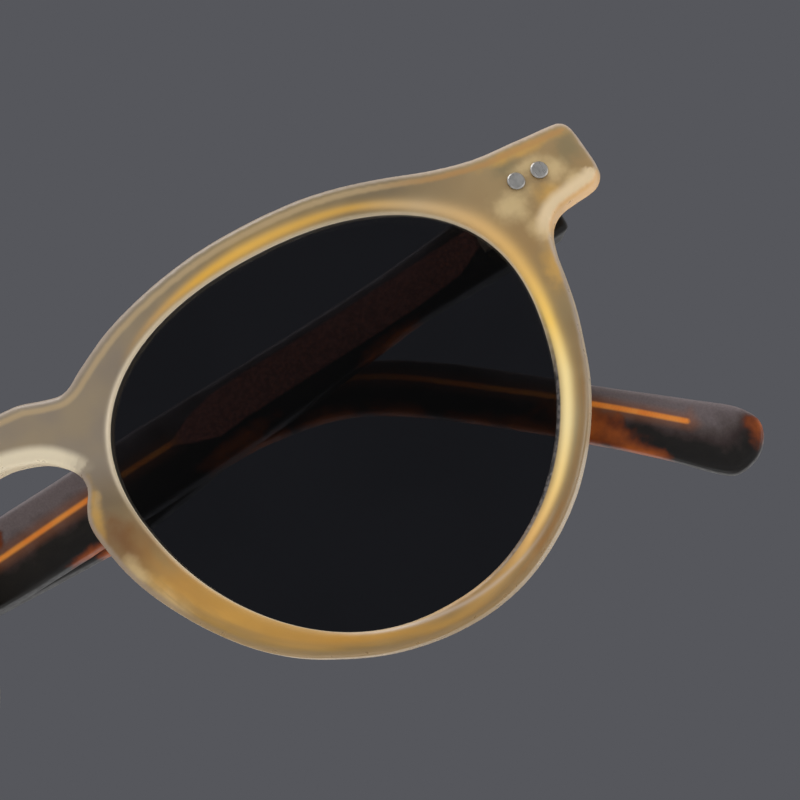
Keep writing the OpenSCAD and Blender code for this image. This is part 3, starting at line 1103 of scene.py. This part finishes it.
# %% World
backdrop = (0.093, 0.095, 0.107)
camera_side = 0.28
open_sides = 0.85
diffuse_level = 0.76
dark_level = 0.05


def grey(level):
    return (level, level, level)


world = bpy.data.worlds.new("studio")
bpy.context.scene.world = world
world.use_nodes = True
studio = Nodes(world.node_tree)


def looking_towards(direction):
    """How far a ray into the world points in a direction, from -1 to 1."""
    node = studio.add("VectorMath", operation="DOT_PRODUCT")
    node.inputs[1].default_value = direction
    studio.link(studio.add("TexCoord").outputs["Generated"], node.inputs[0])
    return node.outputs["Value"]


around = studio.between(looking_towards(ahead), -1, 1, smooth=False)
below = studio.between(looking_towards(-picture_up), -0.1, 0.5, 0.0, 0.85, smooth=False)
rough_view = studio.ramp(
    around,
    ((0.1, grey(camera_side)), (0.3, grey(open_sides)), (0.8, grey(open_sides)), (0.93, backdrop)),
)
rough_view = studio.mix(below, rough_view, grey(dark_level))
sharp_view = studio.ramp(around, ((0.25, grey(dark_level)), (0.45, backdrop)))

ray = studio.add("LightPath").outputs
light = studio.mix(ray["Is Diffuse Ray"], rough_view, grey(diffuse_level))
light = studio.mix(ray["Is Singular Ray"], light, sharp_view)
seen_through = studio.times(ray["Is Singular Ray"], ray["Is Transmission Ray"])
light = studio.mix(seen_through, light, backdrop)
light = studio.mix(ray["Is Camera Ray"], light, backdrop)
studio.link(light, studio.nodes["Background"].inputs["Color"])
print("the studio has", len(studio.nodes), "nodes")

# %% [markdown]
# Three soft lamps shape the edges. A large one from the photograph's upper left draws the
# pale line along the brow. One from below fills the arch of the bridge, without a reflection
# of its own, and one from the right picks out the end piece. Their power is worked out from
# the level that each should add.

# %% Lamps
target = Vector((45, 5, 0)) * MM
lamp_distance = 600 * MM
# direction from the object, size in mm and level
LAMPS = {
    "upper_left_lamp": (picture_up * 0.9 - picture_right * 0.45 - ahead * 0.1, 350, 0.5),
    "lower_lamp": (-picture_up * 0.9 - picture_right * 0.1 - ahead * 0.12, 350, 0.5),
    "right_lamp": (picture_right * 0.95 + picture_up * 0.1 - ahead * 0.1, 300, 0.25),
}


def soft_lamp(name, direction, size, level):
    """A square lamp that adds a level, where 1 would render white as white."""
    bpy.ops.object.select_all(action="DESELECT")
    place = target + direction.normalized() * lamp_distance
    bpy.ops.object.light_add(type="AREA", location=place)
    lamp = bpy.context.object
    lamp.name = name
    lamp.data.size = size * MM
    lamp.data.energy = level * math.pi**2 * lamp_distance**2
    lamp.rotation_euler = direction.to_track_quat("Z", "Y").to_euler()
    print(name, round(lamp.data.energy, 2), "W")
    return lamp


lamps = {name: soft_lamp(name, *look) for name, look in LAMPS.items()}
lamps["lower_lamp"].visible_glossy = False
bpy.context.scene.view_settings.view_transform = "Standard"

# %% [markdown]
# The visual model must not outgrow the imported one, so both boxes are printed. Tumbling
# only takes material away, so the two should agree to a fraction of a millimetre.

# %% Sizes
visual_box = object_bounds()
for corner in visual_box:
    print("corner in mm", [round(v / MM, 1) for v in corner])
